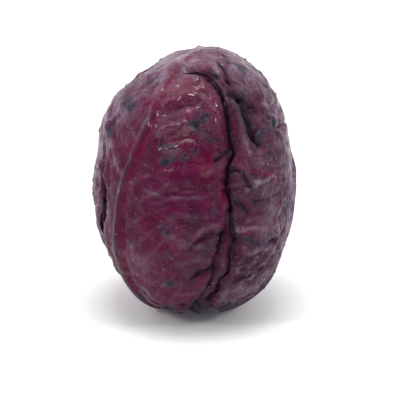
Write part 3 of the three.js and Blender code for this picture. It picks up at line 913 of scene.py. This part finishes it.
def make_skin_group():
    """Waxy, wet leaf skin: pigment, bloom and painted highlight, veins, stains, painted shade and pin-prick
    droplets.
    """
    inputs = [("Body Colour", COLOUR, shade(96, 4, 54)), ("Dusk Colour", COLOUR, shade(70, 36, 58)),
              ("Bloom And Highlight Colour", COLOUR, shade(158, 142, 158)), ("Rib Colour", COLOUR, shade(64, 30, 46))]
    inputs += [(title, FLOAT, 0) for title in MASKS]
    outputs = [("Colour", COLOUR), ("Roughness", FLOAT), ("Coat", FLOAT), ("Normal", VECTOR)]
    group, nodes, ins, outs = new_group("waxy_wet_skin", inputs, outputs)
    where = nodes.place()

    broad = nodes.noise(where, 26, 3, 0.55)
    patch = nodes.noise(where, 90, 3, 0.6)
    fleck = nodes.noise(where, 240, 3, 0.65)
    fine = nodes.noise(where, 420, 3, 0.6)
    grain = nodes.noise(where, 1500, 2, 0.6)

    # Pigment: magenta, going to grey plum where it is dusky, with darker blotches
    dusk = nodes.plus(ins["Dusk"], nodes.ramp(broad, 0.3, 0.7, -0.25, 0.25))
    dusk = nodes.plus(dusk, nodes.ramp(patch, 0.3, 0.7, -0.22, 0.22), clamp=True)
    purpler = nodes.ramp(nodes.noise(where, 38, 3, 0.6, 0.5), 0.38, 0.62, 0.0, 0.5)
    body = nodes.blend(purpler, ins["Body Colour"], shade(82, 8, 56))
    colour = nodes.blend(dusk, body, ins["Dusk Colour"])
    blotch = nodes.ramp(nodes.noise(where, 55, 4, 0.65, 0.3), 0.35, 0.65, 0.35, 0.0)
    colour = nodes.blend(blotch, colour, shade(46, 8, 28))
    colour = nodes.blend(nodes.times(ins["Rib"], 0.85), colour, ins["Rib Colour"])

    # Fibres: thin streaks that run up the leaf, some dark and some pale
    drawn_out = nodes.fill(nodes.add("ShaderNodeMapping"), dict(Vector=where, Scale=(1, 1, 0.45)))
    fibre = nodes.noise(drawn_out.outputs[0], 190, 4, 0.7, 0.6)
    colour = nodes.blend(nodes.ramp(fibre, 0.28, 0.48, 0.4, 0.0), colour, shade(44, 6, 32))
    colour = nodes.blend(nodes.ramp(fibre, 0.55, 0.75, 0.0, 0.08), colour, ins["Bloom And Highlight Colour"])

    # Pale veins and painted highlight on crests, then the waxy bloom with painted highlight and painted
    # grazing reflection
    vein = nodes.times(ins["Vein"], nodes.ramp(fleck, 0.25, 0.65, 0.1, 0.6))
    colour = nodes.blend(nodes.times(vein, 0.8), colour, ins["Bloom And Highlight Colour"])
    pale_patches = nodes.ramp(fine, 0.3, 0.68, 0.5, 1.15)
    pale = nodes.times(ins["Pale"], pale_patches, clamp=True)
    cover = nodes.ramp(nodes.noise(where, 75, 4, 0.65, 1.2), 0.36, 0.6, 0.25, 1.3)
    pale = nodes.times(pale, cover, clamp=True)
    colour = nodes.blend(pale, colour, ins["Bloom And Highlight Colour"])
    dust = nodes.ramp(nodes.noise(where, 950, 2, 0.6), 0.46, 0.66, 0, 0.28)
    frost = nodes.times(ins["Speckle"], dust)
    colour = nodes.blend(frost, colour, ins["Bloom And Highlight Colour"])

    # Fine broken wrinkles, each a shallow groove with a thin line of painted shade
    wrinkle = nodes.minus(nodes.noise(where, 105, 4, 0.6, 0.8), 0.5)
    wrinkle = nodes.ramp(nodes.math("ABSOLUTE", wrinkle), 0.0, 0.03, 1.0, 0.0)
    wrinkle = nodes.times(wrinkle, nodes.ramp(nodes.noise(where, 60, 2, 0.5), 0.42, 0.6))
    wrinkle = nodes.times(wrinkle, nodes.minus(1.0, ins["Rib"], clamp=True))
    colour = nodes.blend(nodes.times(wrinkle, 0.5), colour, shade(42, 8, 30))

    # Stains, the richer colour of wet skin, and painted shade in creases, deep valleys and round the bottom
    # rim
    colour = nodes.blend(nodes.times(ins["Wet"], 0.35), colour, shade(110, 6, 50))
    blush = nodes.times(ins["Blush"], nodes.ramp(fine, 0.32, 0.6, 0.45, 1.0), clamp=True)
    colour = nodes.blend(blush, colour, shade(112, 4, 50))
    # Blue bruises, whose mask also carries painted shade in deep valleys and round the bottom rim: a slate
    # halo and a near black core
    ragged = nodes.plus(nodes.ramp(patch, 0.3, 0.7, -0.15, 0.15), nodes.ramp(fleck, 0.25, 0.75, -0.3, 0.3))
    ragged = nodes.times(ragged, nodes.ramp(ins["Bruise"], 0.0, 0.25))
    edge = nodes.plus(ins["Bruise"], ragged, clamp=True)
    colour = nodes.blend(nodes.ramp(edge, 0.12, 0.6, 0, 0.8), colour, shade(62, 58, 76))
    colour = nodes.blend(nodes.ramp(edge, 0.5, 1.0, 0, 0.9), colour, shade(16, 14, 24))
    # Painted shade: near black in creases, under leaf margins and in hollows
    colour = nodes.blend(nodes.ramp(ins["Crease"], 0.08, 0.85, 0, 0.93), colour, shade(22, 8, 20))

    # Pin-prick droplets, each darker than the skin around it
    drops = nodes.fill(nodes.add("ShaderNodeTexVoronoi"), dict(Vector=where, Scale=340))
    size = nodes.add("ShaderNodeSeparateColor")
    nodes.put(drops.outputs["Color"], size.inputs[0])
    big = nodes.math("MULTIPLY_ADD", nodes.math("POWER", size.outputs[0], 1.6), 0.34, 0.09)
    chance = nodes.math("GREATER_THAN", nodes.plus(ins["Speckle"], 0.42), size.outputs[1])
    bead = nodes.ramp(nodes.minus(big, drops.outputs["Distance"]), 0.0, 0.1)
    bead = nodes.times(bead, chance)
    tint = nodes.blend(0.6, colour, shade(72, 8, 30))
    colour = nodes.blend(nodes.times(bead, 0.85), colour, tint)

    mottled = nodes.blend(nodes.ramp(fine, 0.3, 0.7, 0.0, 0.6), colour, (0.55, 0.42, 0.53, 1), "MULTIPLY")
    nodes.put(mottled, outs["Colour"])

    wet = nodes.plus(ins["Wet"], nodes.ramp(patch, 0.45, 0.75, 0.0, 0.4), clamp=True)
    coat = nodes.math("MAXIMUM", nodes.times(wet, 0.8), bead)
    nodes.put(nodes.plus(coat, 0.05, clamp=True), outs["Coat"])
    rough = nodes.plus(0.43, nodes.ramp(fine, 0.3, 0.7, -0.08, 0.08))
    rough = nodes.minus(rough, nodes.times(wet, 0.14))
    nodes.put(nodes.minus(rough, nodes.times(bead, 0.2)), outs["Roughness"])

    soft = nodes.bump(nodes.noise(where, 170, 4, 0.6, 0.4), 0.5, 0.0011)
    ripple = nodes.times(nodes.noise(where, 430, 3, 0.65), nodes.times(wet, 4.4))
    texture = nodes.plus(fine, nodes.times(grain, 0.35))
    texture = nodes.plus(texture, nodes.times(fibre, 0.3))
    texture = nodes.minus(texture, nodes.times(wrinkle, 0.5))
    skin = nodes.bump(nodes.plus(texture, ripple), 0.7, 0.0005, soft)
    nodes.put(nodes.bump(bead, 0.8, 0.0005, skin), outs["Normal"])
    return group


SKIN = make_skin_group()
SKIN_GLOSS = {
    "Specular IOR Level": 0.08, "Coat Roughness": 0.07, "Coat IOR": 1.45,
    "Sheen Weight": 0.3, "Sheen Roughness": 0.22, "Sheen Tint": (0.86, 0.78, 0.86, 1),
}


def leaf_material(name, **values):
    material, nodes, surface = new_material(name)
    skin = nodes.add("ShaderNodeGroup", node_tree=SKIN)
    for title, value in values.items():
        skin.inputs[title.replace("_", " ").title()].default_value = value
    for title in MASKS:
        mark = nodes.add("ShaderNodeAttribute", attribute_name=title.lower())
        nodes.put(mark.outputs["Fac"], skin.inputs[title])
    nodes.fill(surface, SKIN_GLOSS)
    nodes.fill(surface, {"Base Color": skin.outputs["Colour"], "Roughness": skin.outputs["Roughness"],
                         "Coat Weight": skin.outputs["Coat"], "Normal": skin.outputs["Normal"]})
    return material


# Leaf, body colour and dusky colour, where they are not the usual ones
LEAF_COLOURS = {
    "left_leaf": dict(dusk_colour=shade(76, 48, 66)),
    "right_leaf": dict(body_colour=shade(88, 20, 50)),
    "front_leaf": {},
    "back_leaf": dict(body_colour=shade(96, 20, 56)),
    "seam_leaf": dict(body_colour=shade(80, 22, 46), dusk_colour=shade(68, 38, 52)),
    "inner_leaf": dict(body_colour=shade(84, 20, 48), dusk_colour=shade(64, 32, 48)),
}
FINISHES = {name: leaf_material(name + "_skin", **colours) for name, colours in LEAF_COLOURS.items()}


def heart_material():
    """Tight inner leaves, edge on: wavy purple lines on a paler core."""
    material, nodes, surface = new_material("packed_heart")
    where = nodes.place()
    rings = nodes.add("ShaderNodeTexWave", wave_type="RINGS", rings_direction="SPHERICAL")
    nodes.fill(rings, {"Vector": where, "Scale": 60, "Distortion": 9, "Detail": 2, "Detail Scale": 3})
    wave = rings.outputs["Fac"]
    colour = nodes.blend(wave, shade(92, 34, 66), shade(150, 104, 134))
    rough = nodes.ramp(wave, 0, 1, 0.4, 0.6)
    nodes.fill(surface, {"Base Color": colour, "Roughness": rough, "Normal": nodes.bump(wave, 0.4, 0.001)})
    return material


# Radii on the cut face, in metres
WOODY_RING_RADIUS = 0.0105
RIM_START = 0.0135
STUMP_RADIUS = 0.0164


def cut_stump_material():
    """Damp pale stalk with a woody ring, radial fibres and a browned rim."""
    material, nodes, surface = new_material("cut_stump")
    where = nodes.place()
    x, y, _ = nodes.split(where)
    squares = nodes.plus(nodes.math("POWER", x, 2.0), nodes.math("POWER", y, 2.0))
    radius = nodes.math("SQRT", squares)
    angle = nodes.math("ARCTAN2", y, x)
    fibre_place = nodes.add("ShaderNodeCombineXYZ")
    nodes.put(nodes.times(angle, 6.0), fibre_place.inputs[0])
    nodes.put(nodes.times(radius, 90.0), fibre_place.inputs[1])
    fibres = nodes.noise(fibre_place.outputs[0], 3.0, 4, 0.6)
    pores = nodes.noise(where, 900, 2, 0.5)
    off_ring = nodes.math("ABSOLUTE", nodes.minus(radius, WOODY_RING_RADIUS))
    ring = nodes.minus(1.0, nodes.ramp(off_ring, 0.0003, 0.0022))
    colour = nodes.blend(fibres, shade(214, 204, 170), shade(180, 164, 126))
    colour = nodes.blend(nodes.times(ring, 0.6), colour, shade(150, 140, 92))
    rim = nodes.ramp(radius, RIM_START, STUMP_RADIUS)
    colour = nodes.blend(rim, colour, shade(120, 66, 74))
    colour = nodes.blend(nodes.ramp(pores, 0.55, 0.75, 0, 0.4), colour, shade(120, 100, 70))
    rough = nodes.ramp(fibres, 0.3, 0.7, 0.45, 0.7)
    height = nodes.plus(fibres, nodes.times(pores, 0.4))
    normal = nodes.bump(height, 0.6, 0.0006)
    nodes.fill(surface, {"Base Color": colour, "Roughness": rough, "Normal": normal})
    return material


def water_material():
    material, nodes, surface = new_material("water_bead")
    cloud = nodes.noise(nodes.place(), 300, 2, 0.5)
    colour = nodes.blend(cloud, shade(226, 196, 210), shade(250, 236, 243))
    rough = nodes.ramp(cloud, 0.3, 0.7, 0.02, 0.05)
    nodes.fill(surface, {"Base Color": colour, "Roughness": rough, "IOR": 1.33, "Transmission Weight": 1})
    return material


def dress_cad_node(name, material):
    node = bpy.data.objects[name]
    node.data.materials.clear()
    node.data.materials.append(material)


# ---- Water beads: domes that lie on whatever leaf is outermost ----
BEAD_COUNT = 520
CLUSTERED_BEADS = 100
BEAD_SIZES = (0.5, 1.5)
BEAD_FLATNESS = 0.55
BEAD_CUT = -0.45
CLUSTER_MIDDLE = (-5, 40)
CLUSTER_SPREAD = (9, 6)
# How far out, in metres, the rays start that find the surface
OUTSIDE = 0.16
# Place, width and height of the larger ones
BIG_BEADS = [((1, 22), 4.0, 2.9), ((18, 79), 1.5, 1.6), ((11, 99), 1.9, 1.8), ((2, 126), 1.5, 1.5),
             ((-60, 110), 1.6, 1.5), ((-30, 28), 1.5, 1.3), ((-5, 50), 1.8, 1.4), ((-15, 14), 1.3, 1.3),
             ((-44, 122), 1.7, 1.6), ((38, 50), 1.7, 1.4), ((-100, 30), 1.8, 1.7), ((70, 45), 1.5, 1.5)]


def outer_surface(n, blades):
    """Outermost point and normal along a direction, in metres."""
    centre = Vector((0, 0, CENTRE_Z * MM))
    heading = Vector(n)
    start = centre + heading * OUTSIDE
    best = None
    for blade in blades:
        hit, normal, _, gap = blade.ray_cast(start, -heading)
        if hit is not None and (best is None or gap < best[2]):
            best = (hit, normal, gap)
    return best[:2] if best else None


def model_bead():
    """A ball with its underside cut off."""
    bpy.ops.object.select_all(action="DESELECT")
    bpy.ops.mesh.primitive_uv_sphere_add(segments=10, ring_count=6, radius=1)
    bead = bpy.context.object
    bpy.ops.object.mode_set(mode="EDIT")
    bpy.ops.mesh.select_all(action="SELECT")
    bpy.ops.mesh.bisect(plane_co=(0, 0, BEAD_CUT), plane_no=(0, 0, 1), clear_inner=True, use_fill=True)
    bpy.ops.object.mode_set(mode="OBJECT")
    bpy.ops.object.shade_smooth()
    return bead


def bead_places():
    """Direction, width and height of every bead: the large ones, a cluster, then scattered ones."""
    places = [(direction(*np.array(place, float)), wide, tall) for place, wide, tall in BIG_BEADS]
    while len(places) < CLUSTERED_BEADS:
        azimuth, from_top = rng.normal(CLUSTER_MIDDLE, CLUSTER_SPREAD)
        places.append((direction(azimuth, from_top), rng.uniform(0.4, 1.0), rng.uniform(0.4, 0.7)))
    while len(places) < BEAD_COUNT:
        azimuth = rng.uniform(-180, 180)
        from_top = math.degrees(math.acos(rng.uniform(-0.75, 0.999)))
        wanted = 0.35 + 0.65 * math.exp(-(from_top / 48) ** 2)
        if rng.uniform() > wanted:
            continue
        radius = BEAD_SIZES[0] + (BEAD_SIZES[1] - BEAD_SIZES[0]) * rng.uniform() ** 2.6
        places.append((direction(azimuth, from_top), radius * rng.uniform(0.9, 1.3), radius))
    return places


def build_beads(blades, material):
    """All beads are copies of one, joined as a single piece."""
    pattern = model_bead()
    copies = []
    for n, wide, tall in bead_places():
        found = outer_surface(n, blades)
        if found is None:
            continue
        hit, normal = found
        copy = pattern.copy()
        copy.data = pattern.data.copy()
        bpy.context.collection.objects.link(copy)
        turn = normal.to_track_quat("Z", "X").to_matrix().to_4x4()
        size = Matrix.Diagonal((wide * MM, tall * MM, BEAD_FLATNESS * min(wide, tall) * MM, 1))
        copy.matrix_world = Matrix.Translation(hit) @ turn @ size
        copies.append(copy)
    bpy.ops.object.select_all(action="DESELECT")
    for copy in copies:
        copy.select_set(True)
    bpy.context.view_layer.objects.active = copies[0]
    bpy.ops.object.join()
    beads = bpy.context.object
    bpy.ops.object.transform_apply(location=True, rotation=True, scale=True)
    bpy.data.objects.remove(pattern)
    beads.name = "water_beads"
    beads.data.materials.append(material)
    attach(beads, "root")


# ---- Floor, light and camera ----
def build_floor():
    bpy.ops.object.select_all(action="DESELECT")
    bpy.ops.mesh.primitive_plane_add(size=14, location=(0, 0, 0))
    floor = bpy.context.object
    floor.name = "floor"
    material, nodes, surface = new_material("white_table")
    path = nodes.add("ShaderNodeLightPath")
    seen = nodes.math("MAXIMUM", path.outputs["Is Glossy Ray"], path.outputs["Is Transmission Ray"])
    seen = nodes.math("MAXIMUM", seen, path.outputs["Is Camera Ray"])
    # Glow seen by camera, glossy and transmission rays: full white far off as the backdrop, and faint
    # within 0.3 m of the head, where it is painted light that lifts the cast shadow
    away = nodes.add("ShaderNodeVectorMath", operation="LENGTH")
    nodes.put(nodes.place(), away.inputs[0])
    far = nodes.ramp(away.outputs["Value"], 0.3, 1.1)
    glow = nodes.blend(far, (0.04, 0.04, 0.046, 1), (1, 1, 1, 1))
    glow = nodes.blend(seen, (0, 0, 0, 1), glow)
    nodes.fill(surface, {"Base Color": (0.97, 0.97, 0.98, 1), "Roughness": 0.9, "Specular IOR Level": 0.1,
                         "Emission Color": glow, "Emission Strength": 1})
    floor.data.materials.append(material)


def build_world():
    """Soft light from all round, strongest overhead and weakest from the front. The background is white."""
    world = bpy.data.worlds.new("soft_studio")
    bpy.context.scene.world = world
    world.use_nodes = True
    nodes = Nodes(world.node_tree)
    backdrop = world.node_tree.nodes["Background"]
    x, y, z = nodes.split(nodes.place("Generated"))
    up = nodes.ramp(z, 0.05, 0.95, 0.66, 1.15)
    front = nodes.ramp(nodes.times(y, -1.0), 0.0, 0.8, 0.0, 0.88)
    sides = nodes.ramp(nodes.math("ABSOLUTE", x), 0.45, 1.0, 1.0, 1.6)
    light = nodes.times(up, nodes.minus(1.0, front))
    light = nodes.times(light, sides)
    path = nodes.add("ShaderNodeLightPath")
    mirror = nodes.math("MAXIMUM", path.outputs["Is Glossy Ray"], path.outputs["Is Transmission Ray"])
    mirror = nodes.times(mirror, nodes.ramp(y, -0.4, 0.2))
    seen = nodes.math("MAXIMUM", path.outputs["Is Camera Ray"], mirror)
    strength = nodes.add("ShaderNodeMix", data_type="FLOAT")
    nodes.put(seen, strength.inputs[0])
    nodes.put(light, strength.inputs[2])
    strength.inputs[3].default_value = 1.0
    nodes.fill(backdrop, {"Color": (1, 1, 1, 1), "Strength": strength.outputs[0]})


# Name, place, width and height, watts
LAMPS = [
    ("overhead", (0.0, -0.1, 0.95), (0.5, 0.5), 4.5),
    ("left_window", (-0.75, -0.55, 0.75), (0.12, 0.18), 2.2),
    ("right_window", (0.8, -0.45, 0.75), (0.12, 0.16), 1.8),
]
HEAD_MIDDLE = Vector((0, 0, 0.08))


def aim(thing, place, target):
    """Put a lamp or the camera at a place, facing a target."""
    thing.location = place
    thing.rotation_euler = (target - place).to_track_quat("-Z", "Y").to_euler()
    bpy.context.collection.objects.link(thing)


def add_soft_lamp(name, place, size, power):
    data = bpy.data.lights.new(name, "AREA")
    data.shape = "RECTANGLE"
    data.size, data.size_y = size
    data.energy = power
    aim(bpy.data.objects.new(name, data), Vector(place), HEAD_MIDDLE)


CAMERA_ELEVATION = 19
CAMERA_DISTANCE = 0.9
CAMERA_TARGET = (0.003, 0, 0.076)
LENS = 117


def build_camera():
    data = bpy.data.cameras.new("camera")
    data.lens = LENS
    data.sensor_width = 36
    data.dof.use_dof = False
    camera = bpy.data.objects.new("camera", data)
    rise = math.radians(CAMERA_ELEVATION)
    target = Vector(CAMERA_TARGET)
    aim(camera, target + CAMERA_DISTANCE * Vector((0, -math.cos(rise), math.sin(rise))), target)
    bpy.context.scene.camera = camera


# ---- Putting it together ----
# How many of the outermost leaves can carry water beads
BEADED_LEAVES = 5


def main():
    build_camera()
    blades = []
    for order, leaf in enumerate(LEAVES):
        piece = build_leaf(order, FINISHES.get(leaf["name"], FINISHES["inner_leaf"]))
        if order < BEADED_LEAVES:
            blades.append(BVHTree.FromObject(piece, bpy.context.evaluated_depsgraph_get()))
    dress_cad_node("heart", heart_material())
    dress_cad_node("stump", cut_stump_material())
    build_beads(blades, water_material())
    build_floor()
    build_world()
    for lamp in LAMPS:
        add_soft_lamp(*lamp)
    bpy.context.scene.view_settings.view_transform = "Standard"


main()
